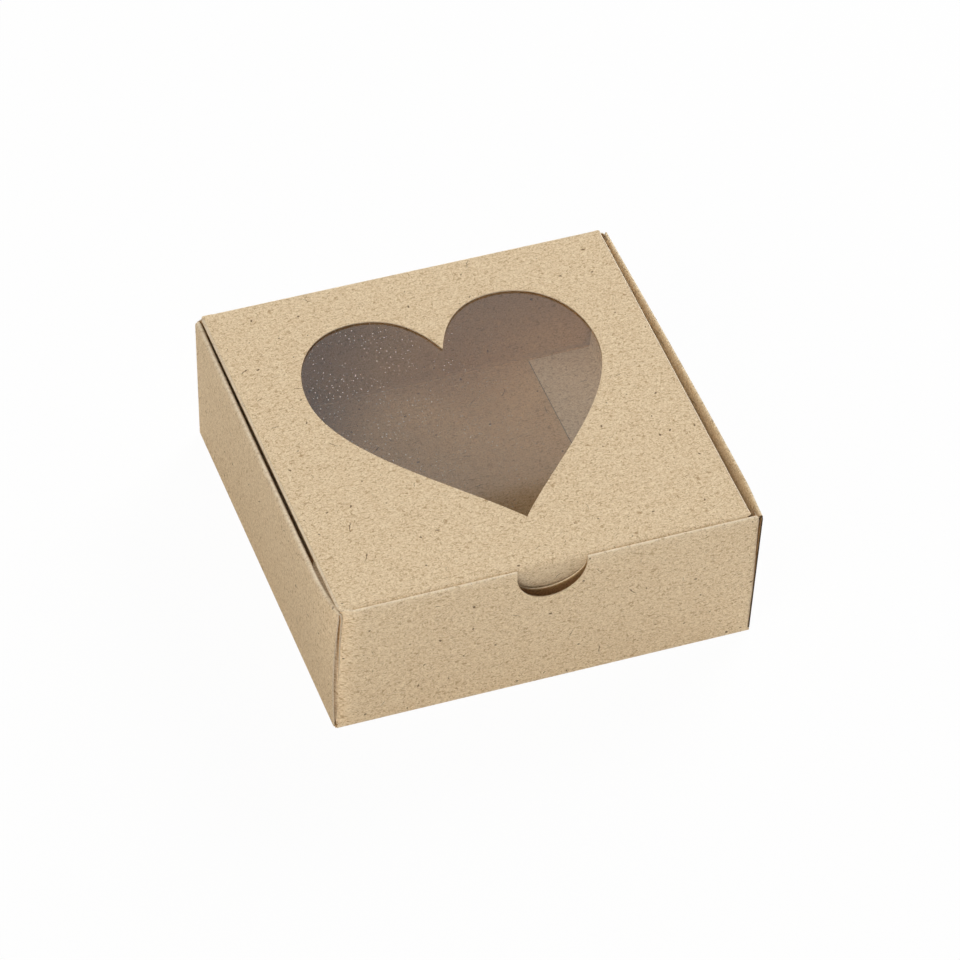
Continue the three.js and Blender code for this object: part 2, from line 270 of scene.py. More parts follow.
def rounded(corners, radius, steps=ROUND_STEPS):
    """A line through the corners, with each inner corner rounded to the radius."""
    corners = [np.array(corner, float) for corner in corners]
    points = [corners[0]]
    for before, corner, after in zip(corners, corners[1:], corners[2:]):
        arriving = (corner - before) / np.linalg.norm(corner - before)
        leaving = (after - corner) / np.linalg.norm(after - corner)
        turn = math.atan2(arriving[0] * leaving[1] - arriving[1] * leaving[0], arriving @ leaving)
        inward = np.array([-arriving[1], arriving[0]]) * math.copysign(radius, turn)
        centre = corner - arriving * radius * math.tan(abs(turn) / 2) + inward
        start = math.atan2(-inward[1], -inward[0])
        points.extend(arc(centre, radius, start, start + turn, steps))
    points.append(corners[-1])
    return points


def bezier(start, control_a, control_b, end):
    """Points of a curve from start up to, but not including, end."""
    t = np.linspace(0, 1, CURVE_STEPS, endpoint=False)[:, None]
    first_half = (1 - t) ** 3 * start + 3 * (1 - t) ** 2 * t * control_a
    return list(first_half + 3 * (1 - t) * t ** 2 * control_b + t ** 3 * end)


def heart():
    """The closed outline of the window."""
    right = bezier(HEART_TIP, HEART_TIP + TIP_PULL, HEART_WIDE - WAIST_PULL, HEART_WIDE)
    right += bezier(HEART_WIDE, HEART_WIDE + SHOULDER_PULL, HEART_LOBE + LOBE_OUTER_PULL, HEART_LOBE)
    right += bezier(HEART_LOBE, HEART_LOBE - LOBE_INNER_PULL, HEART_CUSP + CUSP_PULL, HEART_CUSP)
    left = [point * (-1, 1) for point in right[1:]]
    return np.array([*right, HEART_CUSP, *left[::-1]])


class Section:
    """The middle line of a bent board in one plane, followed by its length."""

    def __init__(self, points):
        kept = [np.array(points[0], float)]
        for point in points[1:]:
            before = kept[-1]
            length = np.linalg.norm(point - before)
            if length > 1e-6:
                count = max(1, math.ceil(length / STEP))
                kept.extend(before + (point - before) * step / count for step in range(1, count + 1))
        self.points = np.array(kept)
        self.levels = np.concatenate([[0], np.cumsum(np.linalg.norm(np.diff(self.points, axis=0), axis=1))])
        self.end = self.levels[-1]

    def at(self, length):
        """The line's two coordinates at this length along it."""
        return [np.interp(length, self.levels, self.points[:, side]) for side in (0, 1)]

    def nearest(self, point):
        """The length at which the line passes nearest to the point."""
        lengths = np.linspace(0, self.end, NEAREST_STEPS)
        first, second = self.at(lengths)
        return lengths[int(np.argmin(np.hypot(first - point[0], second - point[1])))]


def triangulated(loops, columns, rows):
    """Flat points and triangles between loops, on a lattice with its lines at these columns and rows."""

    def to_lattice(loop):
        u = np.interp(loop[:, 0], columns, np.arange(len(columns)))
        return np.column_stack([u, np.interp(loop[:, 1], rows, np.arange(len(rows)))])

    fine = [resampled(np.array(loop, float), EDGE_STEP) for loop in loops]
    loops = [resampled(to_lattice(loop), LATTICE_EDGE) for loop in fine]
    across, along = np.meshgrid(np.arange(len(columns)), np.arange(len(rows)))
    inner = np.column_stack([across.ravel(), along.ravel()]).astype(float)
    inner = inner[points_inside(inner, loops[0])]
    for loop in loops[1:]:
        inner = inner[~points_inside(inner, loop)]
    for loop in loops:
        inner = inner[distance_to(inner, loop) > LATTICE_CLEARANCE]
    points = np.concatenate([*loops, inner])
    starts = np.cumsum([0, *map(len, loops)])
    borders = [list(range(a, b)) for a, b in zip(starts, starts[1:])]
    flat = [Vector(point) for point in points]
    inside_with_holes = 2
    found, _, triangles, _, _, _ = delaunay_2d_cdt(flat, [], borders, inside_with_holes, SAME_PLACE)
    found = np.array([tuple(point) for point in found])
    u = np.interp(found[:, 0], np.arange(len(columns)), columns)
    return u, np.interp(found[:, 1], np.arange(len(rows)), rows), [list(t) for t in triangles]


# Board pieces


def piece_from(name, vertices, faces, materials):
    """A mesh object in metres, from vertices in millimetres."""
    mesh = bpy.data.meshes.new(name)
    mesh.from_pydata([tuple(v) for v in np.array(vertices) * MM], [], faces)
    for material in materials:
        mesh.materials.append(material)
    made = bpy.data.objects.new(name, mesh)
    bpy.context.scene.collection.objects.link(made)
    return made


def sheet(
    name, loops, columns, rows, place, materials, folds=(), origin=(0, 0), lining_up=False, along_grain=False,
    thickness=BOARD, fold_width=FOLD_WEAR_AND_HIGHLIGHT,
):
    """A flat outline with holes, bent by place(u, s) and given a thickness, with square cut edges.

    folds are the places of s where the board is creased, and within fold_width of them its face is a little
    paler, as rubbed board and in part as a painted highlight. lining_up says whether the board's inner face,
    which the material tints darker as painted shade, is the one that looks up from the drawing. The board's
    grain runs across the whole blank from side to side, which is along s and not along u where along_grain is
    true. origin is where the drawing lies on the blank.
    """
    u, s, triangles = triangulated(loops, columns, rows)
    middle = place(u, s)
    small = 0.01
    normal = np.cross(place(u + small, s) - place(u - small, s), place(u, s + small) - place(u, s - small))
    normal /= np.linalg.norm(normal, axis=1)[:, None]
    count = len(u)
    directed = {(a, b) for t in triangles for a, b in zip(t, t[1:] + t[:1])}
    rim = sorted((a, b) for a, b in directed if (b, a) not in directed)
    faces = triangles + [[count + c, count + b, count + a] for a, b, c in triangles]
    faces += [[b, a, count + a, count + b] for a, b in rim]
    offset = normal * thickness / 2
    made = piece_from(name, np.concatenate([middle + offset, middle - offset]), faces, materials)
    mesh = made.data
    flat = (s, u) if along_grain else (u, s)
    drawn = np.column_stack([flat[0] + origin[0], flat[1] + origin[1], np.zeros(count)])
    blank = mesh.attributes.new("blank", "FLOAT_VECTOR", "POINT")
    upper, under = drawn + (0, 0, lining_up), drawn + (0, 0, not lining_up)
    blank.data.foreach_set("vector", np.concatenate([upper, under]).astype(np.float32).ravel())
    # Paler band along each crease: rubbed board, and in part a painted highlight.
    rub_and_highlight_share = np.zeros(count)
    for fold in folds:
        rub_and_highlight_share = np.maximum(rub_and_highlight_share, np.exp(-((s - fold) / fold_width) ** 2))
    wear_and_highlight = mesh.attributes.new("wear_and_highlight", "FLOAT", "POINT")
    wear_and_highlight.data.foreach_set("value", np.concatenate([rub_and_highlight_share, rub_and_highlight_share]).astype(np.float32))
    for face in mesh.polygons[2 * len(triangles):]:
        face.material_index = len(materials) - 1
    mesh.polygons.foreach_set("use_smooth", [True] * len(mesh.polygons))
    mesh.set_sharp_from_angle(angle=SHARP_ANGLE)
    return made


# Materials


def node(tree, kind, inputs=None, **settings):
    """A new shader node, with its inputs set or linked by name or by number."""
    made = tree.nodes.new(kind)
    for name, value in settings.items():
        setattr(made, name, value)
    for name, value in (inputs or {}).items():
        if isinstance(value, bpy.types.NodeSocket):
            tree.links.new(value, made.inputs[name])
        else:
            made.inputs[name].default_value = value
    return made


def new_material(name):
    made = bpy.data.materials.new(name)
    made.use_nodes = True
    made.node_tree.nodes.clear()
    return made, made.node_tree


def calculated(tree, operation, a, b=0.0):
    return node(tree, "ShaderNodeMath", {0: a, 1: b}, operation=operation).outputs[0]


def vector(tree, operation, a, b=(0.0, 0.0, 0.0)):
    return node(tree, "ShaderNodeVectorMath", {0: a, 1: b}, operation=operation).outputs["Vector"]


def attribute(tree, name, output):
    return node(tree, "ShaderNodeAttribute", attribute_type="GEOMETRY", attribute_name=name).outputs[output]


def noise(tree, place, scale, detail=2.0, roughness=0.5):
    """Noise from 0 to 1 on coordinates in millimetres."""
    inputs = {"Vector": place, "Scale": scale, "Detail": detail, "Roughness": roughness}
    return node(tree, "ShaderNodeTexNoise", inputs).outputs[0]


def between(tree, value, low, high):
    """value stretched so that low becomes 0 and high becomes 1, kept within that range."""
    inputs = {"Value": value, "From Min": low, "From Max": high}
    return node(tree, "ShaderNodeMapRange", inputs, interpolation_type="SMOOTHSTEP").outputs["Result"]


def mixed(tree, share, base, colour):
    """base with this share of colour laid over it."""
    made = node(tree, "ShaderNodeMix", data_type="RGBA")
    enabled = {socket.name: socket for socket in made.inputs if socket.enabled}
    for name, value in (("Factor", share), ("A", base), ("B", colour)):
        if isinstance(value, bpy.types.NodeSocket):
            tree.links.new(value, enabled[name])
        else:
            enabled[name].default_value = value
    return [socket for socket in made.outputs if socket.enabled][0]


def fibres(tree, place, cell, length, width, share, seed):
    """A mask of short fibres, one to a cell in this share of the cells, each turned its own way."""
    moved = vector(tree, "ADD", place, (seed * 37.0, seed * 11.0, 0.0))
    scaled = vector(tree, "MULTIPLY", moved, (1 / cell, 1 / cell, 0.0))
    inputs = {"Vector": scaled, "Scale": 1.0, "Randomness": 0.9}
    cells = node(tree, "ShaderNodeTexVoronoi", inputs, voronoi_dimensions="2D")
    local = vector(tree, "SUBTRACT", scaled, cells.outputs["Position"])
    random = node(tree, "ShaderNodeSeparateColor", {"Color": cells.outputs["Color"]}).outputs
    angle = calculated(tree, "MULTIPLY", calculated(tree, "SUBTRACT", random["Red"], 0.5), math.pi)
    turned = node(tree, "ShaderNodeVectorRotate", {"Vector": local, "Angle": angle}, rotation_type="Z_AXIS")
    shaped = vector(tree, "MULTIPLY", turned.outputs[0], (cell / length, cell / width, 0.0))
    far = node(tree, "ShaderNodeVectorMath", {0: shaped}, operation="LENGTH").outputs["Value"]
    size = calculated(tree, "ADD", calculated(tree, "MULTIPLY", random["Blue"], 0.8), 0.4)
    mask = between(tree, calculated(tree, "DIVIDE", far, size), 1.0, 0.55)
    return calculated(tree, "MULTIPLY", mask, calculated(tree, "LESS_THAN", random["Green"], share))


def hairs(tree, place, scale, width, share):
    """A mask of short curved hairs: broken pieces of the contour lines of smooth noise."""
    level = calculated(tree, "ABSOLUTE", calculated(tree, "SUBTRACT", noise(tree, place, scale, 1.0), 0.5))
    line = between(tree, level, width * scale, width * scale * 0.4)
    elsewhere = vector(tree, "ADD", place, (91.0, 17.0, 0.0))
    pieces = between(tree, noise(tree, elsewhere, 0.9), 1 - share, 1.08 - share)
    return calculated(tree, "MULTIPLY", line, pieces)


KRAFT = (0.705, 0.548, 0.360, 1)
KRAFT_PALE = (0.850, 0.715, 0.510, 1)
KRAFT_DEEP = (0.500, 0.358, 0.205, 1)
# Tint of the inner faces, darker and more saturated: painted shade for the dim, bounced light inside the box.
INSIDE_SHADE_TINT = (0.90, 0.76, 0.59, 1)
# Paler colour at the creases: rubbed board, and in part a painted highlight on the crests.
KRAFT_WEAR_AND_HIGHLIGHT = (0.890, 0.790, 0.630, 1)
FIBRE = (0.38, 0.25, 0.13, 1)
FLECK = (0.14, 0.085, 0.045, 1)
GRAIN_STRETCH = (0.7, 1.2, 1.0)


def kraft(name):
    """Uncoated kraft board: mottled pulp with fibres and dark flecks, paler at the creases as rubbed board
    and in part as a painted highlight, and tinted darker on its inner face as painted shade.
    """
    made, tree = new_material(name)
    blank = attribute(tree, "blank", "Vector")
    face = node(tree, "ShaderNodeSeparateXYZ", {"Vector": blank}).outputs["Z"]
    apart = node(tree, "ShaderNodeVectorMath", {0: (137.0, 61.0, 0.0), "Scale": face}, operation="SCALE")
    drawn = vector(tree, "ADD", vector(tree, "MULTIPLY", blank, (1.0, 1.0, 0.0)), apart.outputs["Vector"])
    wavy = node(tree, "ShaderNodeTexNoise", {"Vector": drawn, "Scale": 0.9, "Detail": 1.0}).outputs["Color"]
    wander = vector(tree, "MULTIPLY", vector(tree, "SUBTRACT", wavy, (0.5, 0.5, 0.5)), (0.9, 0.9, 0.0))
    place = vector(tree, "ADD", drawn, wander)
    grained = vector(tree, "MULTIPLY", place, GRAIN_STRETCH)
    cloud = noise(tree, drawn, 0.3, 3.0, 0.6)
    mottle = noise(tree, grained, 1.2, 3.0, 0.7)
    grain = noise(tree, grained, 3.2, 2.0, 0.6)
    pale = fibres(tree, place, 1.3, 0.55, 0.08, 0.6, 1)
    brown = fibres(tree, place, 1.5, 0.6, 0.07, 0.5, 2)
    clouded = calculated(tree, "MULTIPLY", between(tree, cloud, 0.35, 0.65), 0.3)
    colour = mixed(tree, clouded, KRAFT, KRAFT_PALE)
    for value, low, high, share, tint in (
        (mottle, 0.5, 0.33, 0.75, KRAFT_DEEP),
        (mottle, 0.5, 0.67, 0.7, KRAFT_PALE),
        (grain, 0.5, 0.33, 0.75, KRAFT_DEEP),
        (grain, 0.5, 0.67, 0.9, KRAFT_PALE),
    ):
        mask = between(tree, value, low, high)
        colour = mixed(tree, calculated(tree, "MULTIPLY", mask, share), colour, tint)
    for mask, share, tint in (
        (hairs(tree, vector(tree, "MULTIPLY", drawn, GRAIN_STRETCH), 0.5, 0.05, 0.5), 0.6, KRAFT_PALE),
        (hairs(tree, grained, 0.8, 0.055, 0.48), 0.65, FIBRE),
        (pale, 0.7, KRAFT_PALE),
        (brown, 0.65, FIBRE),
        (fibres(tree, place, 2.2, 0.3, 0.15, 0.4, 3), 0.75, FIBRE),
        (fibres(tree, place, 9.0, 1.6, 0.12, 0.24, 4), 0.85, FLECK),
        (fibres(tree, place, 7.0, 0.44, 0.28, 0.4, 5), 0.9, FLECK),
    ):
        colour = mixed(tree, calculated(tree, "MULTIPLY", mask, share), colour, tint)
    # Paler at the creases: rubbed board, and in part a painted highlight.
    wear_and_highlight = calculated(tree, "MULTIPLY", attribute(tree, "wear_and_highlight", "Fac"), between(tree, mottle, 0.25, 0.5))
    colour = mixed(tree, calculated(tree, "MULTIPLY", wear_and_highlight, 0.65), colour, KRAFT_WEAR_AND_HIGHLIGHT)
    # The inner face is tinted darker and more saturated: painted shade for the inside of the box.
    inner = node(tree, "ShaderNodeMath", {0: face, 1: 1.0}, operation="MULTIPLY", use_clamp=True).outputs[0]
    colour = vector(tree, "MULTIPLY", colour, mixed(tree, inner, (1, 1, 1, 1), INSIDE_SHADE_TINT))
    roughness = {"Value": mottle, "To Min": 0.78, "To Max": 0.96}
    rough = node(tree, "ShaderNodeMapRange", roughness).outputs["Result"]
    height = calculated(tree, "ADD", grain, calculated(tree, "MULTIPLY", pale, 0.5))
    height = calculated(tree, "ADD", height, calculated(tree, "MULTIPLY", mottle, 1.2))
    bump = node(tree, "ShaderNodeBump", {"Height": height, "Strength": 0.4, "Distance": 0.00008}).outputs[0]
    inputs = {"Base Color": colour, "Roughness": rough, "Normal": bump, "Specular IOR Level": 0.2}
    shader = node(tree, "ShaderNodeBsdfPrincipled", inputs)
    node(tree, "ShaderNodeOutputMaterial", {"Surface": shader.outputs[0]})
    return made


def cut_edge(name, deep, pale):
    """The fibrous cut edge of the board, between a deep and a pale colour."""
    made, tree = new_material(name)
    streaks = noise(tree, attribute(tree, "blank", "Vector"), 2.4, 3.0, 0.7)
    colour = mixed(tree, between(tree, streaks, 0.25, 0.75), deep, pale)
    bump = node(tree, "ShaderNodeBump", {"Height": streaks, "Strength": 0.5, "Distance": 0.0001}).outputs[0]
    inputs = {"Base Color": colour, "Roughness": 0.95, "Normal": bump, "Specular IOR Level": 0.15}
    shader = node(tree, "ShaderNodeBsdfPrincipled", inputs)
    node(tree, "ShaderNodeOutputMaterial", {"Surface": shader.outputs[0]})
    return made


def clear_film(name):
    """Thin clear film that mirrors a little on its outer face and holds some dust."""
    made, tree = new_material(name)
    place = vector(tree, "MULTIPLY", attribute(tree, "blank", "Vector"), (1.0, 1.0, 0.0))
    back = node(tree, "ShaderNodeNewGeometry").outputs["Backfacing"]
    fresnel = node(tree, "ShaderNodeFresnel", {"IOR": 1.75}).outputs[0]
    mirror = calculated(tree, "MULTIPLY", fresnel, calculated(tree, "SUBTRACT", 1.0, back))
    through = node(tree, "ShaderNodeBsdfTransparent", {"Color": (0.985, 0.985, 0.985, 1)}).outputs[0]
    gloss = node(tree, "ShaderNodeBsdfAnisotropic", {"Color": (1, 1, 1, 1), "Roughness": 0.03}).outputs[0]
    clear = node(tree, "ShaderNodeMixShader", {0: mirror, 1: through, 2: gloss}).outputs[0]
    left = between(tree, node(tree, "ShaderNodeSeparateXYZ", {"Vector": place}).outputs["X"], 25.0, -15.0)
    patches = calculated(tree, "MULTIPLY", between(tree, noise(tree, place, 0.1), 0.35, 0.6), left)
    dust = calculated(tree, "MULTIPLY", fibres(tree, place, 1.1, 0.14, 0.12, 0.6, 6), patches)
    specks = node(tree, "ShaderNodeBsdfDiffuse", {"Color": (0.9, 0.88, 0.84, 1)}).outputs[0]
    share = calculated(tree, "MULTIPLY", dust, 0.6)
    shader = node(tree, "ShaderNodeMixShader", {0: share, 1: clear, 2: specks}).outputs[0]
    node(tree, "ShaderNodeOutputMaterial", {"Surface": shader})
    return made


def dried_glue(name):
    """A thin layer of dried glue, a little uneven."""
    made, tree = new_material(name)
    uneven = noise(tree, attribute(tree, "blank", "Vector"), 0.5)
    colour = mixed(tree, uneven, (0.72, 0.62, 0.44, 1), (0.86, 0.8, 0.66, 1))
    bump = node(tree, "ShaderNodeBump", {"Height": uneven, "Strength": 0.4, "Distance": 0.0001}).outputs[0]
    film = node(tree, "ShaderNodeBsdfPrincipled", {"Base Color": colour, "Roughness": 0.35, "Normal": bump})
    clear = node(tree, "ShaderNodeBsdfTransparent").outputs[0]
    share = calculated(tree, "MULTIPLY", between(tree, uneven, 0.3, 0.7), 0.35)
    shader = node(tree, "ShaderNodeMixShader", {0: share, 1: clear, 2: film.outputs[0]})
    node(tree, "ShaderNodeOutputMaterial", {"Surface": shader.outputs[0]})
    return made


KRAFT_BOARD = kraft("kraft_board")
CUT_EDGE = cut_edge("cut_edge", (0.50, 0.39, 0.26, 1), (0.78, 0.67, 0.51, 1))
# Near-black cut edge: painted shade for the deep shadow at the right wall's front edge.
PAINTED_SHADE_EDGE = cut_edge("painted_shade_edge", (0.035, 0.022, 0.012, 1), (0.10, 0.068, 0.04, 1))
FACES = [KRAFT_BOARD, CUT_EDGE]


# The tray


def eased(value):
    """0 below 0, 1 above 1, and a smooth step between."""
    value = np.clip(value, 0, 1)
    return value * value * (3 - 2 * value)


def stance(y, z, side):
    """How far a made-up side stands outwards of square, by its place along the box and its height."""
    share = np.clip(z / SIDE_TOP, 0, HIGHEST_SHARE)
    along = np.clip((y + SIDE_HALF_LENGTH) / (2 * SIDE_HALF_LENGTH), 0, 1)
    if side > 0:
        curl = RIGHT_CURL * eased(1 - along / RIGHT_CURL_RUN)
        bow = RIGHT_BOW * np.sin(math.pi * along ** RIGHT_BOW_SKEW)
        top = RIGHT_LEAN - RIGHT_LEAN_LOSS * along + bow - curl
        return top * share + RIGHT_FOOT_LEAN * (1 - share) * (1 - along)
    rise = 1 - (1 - np.clip(along / LEFT_LEAN_RUN, 0, 1)) ** 2
    top = LEFT_LEAN * rise - LEFT_LEAN_LOSS * along ** 3
    foot = LEFT_FOOT_LEAN - LEFT_FOOT_LOSS * along
    belly = LEFT_BELLY * np.sin(math.pi * np.clip(share, 0, 1)) * (1 - along) ** 2
    return top * share + foot * (1 - share) + belly


def end_stance(y, z, side):
    """The same for the front wall's ends, which are held in a little until their corner flaps run back."""
    held = SEAM + PINCH * eased((z - PINCH_LOW) / PINCH_RISE) if side > 0 else FRONT_GAP
    released = eased((y + END_HALF_DEPTH - PINCH_START) / PINCH_RUN)
    return stance(y, z, side) - held * (1 - released)


def both_ways(x, shift):
    """x with each half moved outwards by shift(side), in full at the ends and not at all in the middle."""
    side = np.where(x < 0, -1.0, 1.0)
    moved = np.where(side > 0, shift(1), shift(-1))
    return x + side * moved * np.clip(np.abs(x) / FLAP_X, 0, 1) ** 2


def floor_board():
    """The flat floor of the tray, up to its creases."""
    edge = HALF_WIDTH - LIFT - FOOT_BEND - SEAM
    end = WALL_Y - FOOT_BEND - SEAM
    outline = [(-edge, -end), (edge, -end), (edge, end), (-edge, end)]

    def place(u, s):
        return np.column_stack([both_ways(u, lambda side: stance(s, 0, side)), s, np.full(len(u), LIFT)])

    made = sheet("floor_board", [outline], ACROSS, ACROSS, place, FACES, lining_up=True)
    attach(made, "tray")
    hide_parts("bottom_panel")


def side_board(side):
    """One side of the tray in one bent strip: outer wall, rolled top, inner wall and floor flange."""
    radius = ROLL_ROUND[side]
    outer = HALF_WIDTH - LIFT
    inner = outer - PLY_GAP
    crest = SIDE_TOP - LIFT - radius
    flange_z = BOARD + GAP + LIFT
    wall = rounded([(outer - FOOT_BEND, LIFT), (outer, LIFT), (outer, crest)], FOOT_BEND)
    roll = arc((outer - radius, crest), radius, 0, math.pi)
    lining = rounded([(inner, crest - ROLL_DEPTH), (INNER_FOOT_X, flange_z), (FLANGE_X, flange_z)], BEND)
    strip = Section([*wall, *roll, *lining])
    crease = strip.nearest((outer - 2 * radius, crest))
    shoulder = strip.nearest((outer, crest))
    top = strip.nearest((outer - radius, crest + radius))
    half = SIDE_HALF_LENGTH
    inner_half = SIDE_HALF_LENGTH - INNER_SHORTER
    front = half + FRONT_REACH[side]
    back = half + BACK_REACH
    outline = [
        (-front, 0), (back, 0), (back, top), (half, crease),
        (inner_half, crease + INNER_START), (inner_half - INNER_TAPER, strip.end),
        (INNER_TAPER - inner_half, strip.end), (-inner_half, crease + INNER_START),
        (ROLL_SHORTER - half, crease), (ROLL_SHORTER - half, shoulder), (-front, shoulder - SHOULDER_DROP),
    ]

    def place(u, s):
        x, z = strip.at(s)
        if side < 0:
            raised = eased((z - crest + ROLL_DEPTH) / ROLL_DEPTH)
            pressed = ROLL_PRESSED * eased(1 - (u + half) / PRESSED_RUN) * raised
            x = outer - (outer - x) * (1 - pressed)
        return np.column_stack([side * (x + stance(u, z, side)), u, z])

    word = "right" if side > 0 else "left"
    name = f"{word}_side_board"
    # Only the left roll gets the wide pale band at its crest: rubbed board, and in part a painted highlight.
    folds = (top,) if side < 0 else ()
    origin = (side * WALL_APART, 0)
    # The right board's cut edges are near-black: painted shade, as its front edge sits in the shadow of the
    # front wall's corner.
    faces = FACES if side < 0 else [KRAFT_BOARD, PAINTED_SHADE_EDGE]
    made = sheet(
        name, [outline], ACROSS, strip.levels, place, faces, folds, origin, lining_up=side < 0,
        along_grain=True, fold_width=ROLL_WEAR_AND_HIGHLIGHT,
    )
    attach(made, "tray")
    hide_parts(*(f"{word}_{part}" for part in ("side_wall", "top_fold", "inner_wall", "floor_flange")))


def end_plan(bend):
    """An end wall seen from above, from its middle round the corner and along its flap; and its corner."""
    plan = Section(rounded([(0, WALL_Y), (FLAP_X, WALL_Y), (FLAP_X, CORNER_REACH)], bend))
    return plan, plan.nearest((FLAP_X, WALL_Y))


def end_outline(plan, wall, corner, top):
    """The outline of an end wall and its corner flaps; top is the right half of what is above the flaps."""
    low = wall.nearest((WALL_Y, CORNER_LOW))
    high = wall.nearest((WALL_Y, CORNER_HIGH))
    right = [
        (FOOT_HALF_WIDTH, 0), (FOOT_HALF_WIDTH, low - FOOT_RISE), (corner, low),
        (plan.end, low + CORNER_TAPER), (plan.end, high - CORNER_TAPER), (corner, high), *top,
    ]
    return right + [(-u, s) for u, s in reversed(right)]


def along_plan(plan, u, z):
    """Where the plan runs at u, but straight on below the corner flaps, at the wall's foot."""
    x, y = plan.at(np.abs(u))
    bent = eased((z - CORNER_LOW + FOOT_RISE) / FOOT_RISE)
    return np.abs(u) + (x - np.abs(u)) * bent, WALL_Y + (y - WALL_Y) * bent


def two_sided(levels):
    """Levels that start at 0, with the same ones below 0 put before them."""
    return np.concatenate([-levels[:0:-1], levels])


def front_board():
    """Front wall, corner flaps and the hem that folds over inside it, with the thumb notch through both."""
    plan, corner = end_plan(FRONT_CORNER_BEND)
    centre = (WALL_Y - HEM_ROUND, FRONT_TOP - LIFT - HEM_ROUND)
    fold = arc(centre, HEM_ROUND, 0, math.pi - HEM_SLANT)
    fall = fold[-1][1] - HEM_FOOT - LIFT * math.sin(HEM_SLANT)
    free = fold[-1] + (-fall * math.tan(HEM_SLANT), -fall)
    foot = rounded([(WALL_Y - FOOT_BEND, LIFT), (WALL_Y, LIFT), (WALL_Y, centre[1])], FOOT_BEND)
    wall = Section([*foot, *fold, free])
    crest = wall.nearest((centre[0], centre[1] + HEM_ROUND))
    top = [
        (FRONT_SHOULDER_X, crest - SHOULDER_DROP), (HEM_HALF_WIDTH + HEM_EASE, crest + HEM_EASE),
        (HEM_HALF_WIDTH, crest + HEM_START), (HEM_HALF_WIDTH - HEM_TAPER, wall.end),
    ]
    hem_centre = (NOTCH_X, crest + HEM_NOTCH_DEPTH - NOTCH_RADIUS)
    wall_centre = (NOTCH_X, crest - NOTCH_DEPTH + NOTCH_RADIUS)
    notch = arc(hem_centre, NOTCH_RADIUS, 0, math.pi, CURVE_STEPS)
    notch += arc(wall_centre, NOTCH_RADIUS, math.pi, 2 * math.pi, CURVE_STEPS)

    def place(u, s):
        inwards, z = wall.at(s)
        x, y = along_plan(plan, u, z)
        beside = eased((np.abs(u) - corner + RECESS_WIDTH) / RECESS_WIDTH)
        recess = FRONT_RECESS * beside * eased((z - CORNER_LOW) / RECESS_RISE)
        y = -(y + inwards - WALL_Y - recess * (u < 0))
        x = both_ways(np.sign(u) * x, lambda side: end_stance(y, z, side))
        return np.column_stack([x, y, z])

    loops = [end_outline(plan, wall, corner, top), notch]
    columns = two_sided(plan.levels)
    # The front wall's crest is paler: rubbed board, and in part a painted highlight.
    made = sheet("front_board", loops, columns, wall.levels, place, FACES, (crest,), (0, -WALL_APART))
    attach(made, "tray")
    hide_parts("front_wall", "front_hem", "left_front_corner_flap", "right_front_corner_flap")


def back_board():
    """Back wall, corner flaps and the crease at its top that the lid turns on."""
    plan, corner = end_plan(BEND)
    turn = LID_Z - BACK_ROUND
    foot = rounded([(WALL_Y - FOOT_BEND, LIFT), (WALL_Y, LIFT), (WALL_Y, turn)], FOOT_BEND)
    wall = Section([*foot, *arc((WALL_Y - BACK_ROUND, turn), BACK_ROUND, 0, math.pi / 2)])
    shoulder = wall.nearest((WALL_Y, turn))
    crease_half = LID_RIGHT - BACK_CREASE_INSET
    top = [
        (BACK_SHOULDER_X, shoulder - SHOULDER_DROP), (crease_half, shoulder), (crease_half, wall.end),
    ]

    def place(u, s):
        inwards, z = wall.at(s)
        x, y = along_plan(plan, u, z)
        lean = LID_BACK - LIFT - WALL_Y - BACK_SKEW * np.sign(u) * x
        y = y + inwards - WALL_Y + lean * np.clip(z / turn, 0, 1) ** BACK_LEAN_POWER
        x = both_ways(np.sign(u) * x, lambda side: stance(y, z, side))
        return np.column_stack([x, y, z])

    loops = [end_outline(plan, wall, corner, top)]
    folds = (shoulder + BACK_FOLD_AT, FOOT_BEND)
    columns = two_sided(plan.levels)
    origin = (0, WALL_APART)
    made = sheet("back_board", loops, columns, wall.levels, place, FACES, folds, origin, lining_up=True)
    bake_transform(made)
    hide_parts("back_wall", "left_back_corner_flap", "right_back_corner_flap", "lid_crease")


# The lid


def corner_tab(x, y, along_x=TAB_LENGTH, along_y=TAB_LENGTH):
    """A flat corner of the lid, between the ends of the two creases that meet there."""
    over_x, over_y = math.copysign(1, x), math.copysign(1, y)
    points = [
        (x, y - over_y * along_y), (x + over_x * TAB, y - over_y * along_y), (x + over_x * TAB, y),
        (x, y + over_y * TAB), (x - over_x * along_x, y + over_y * TAB), (x - over_x * along_x, y),
    ]
    return points if over_x == over_y else points[::-1]


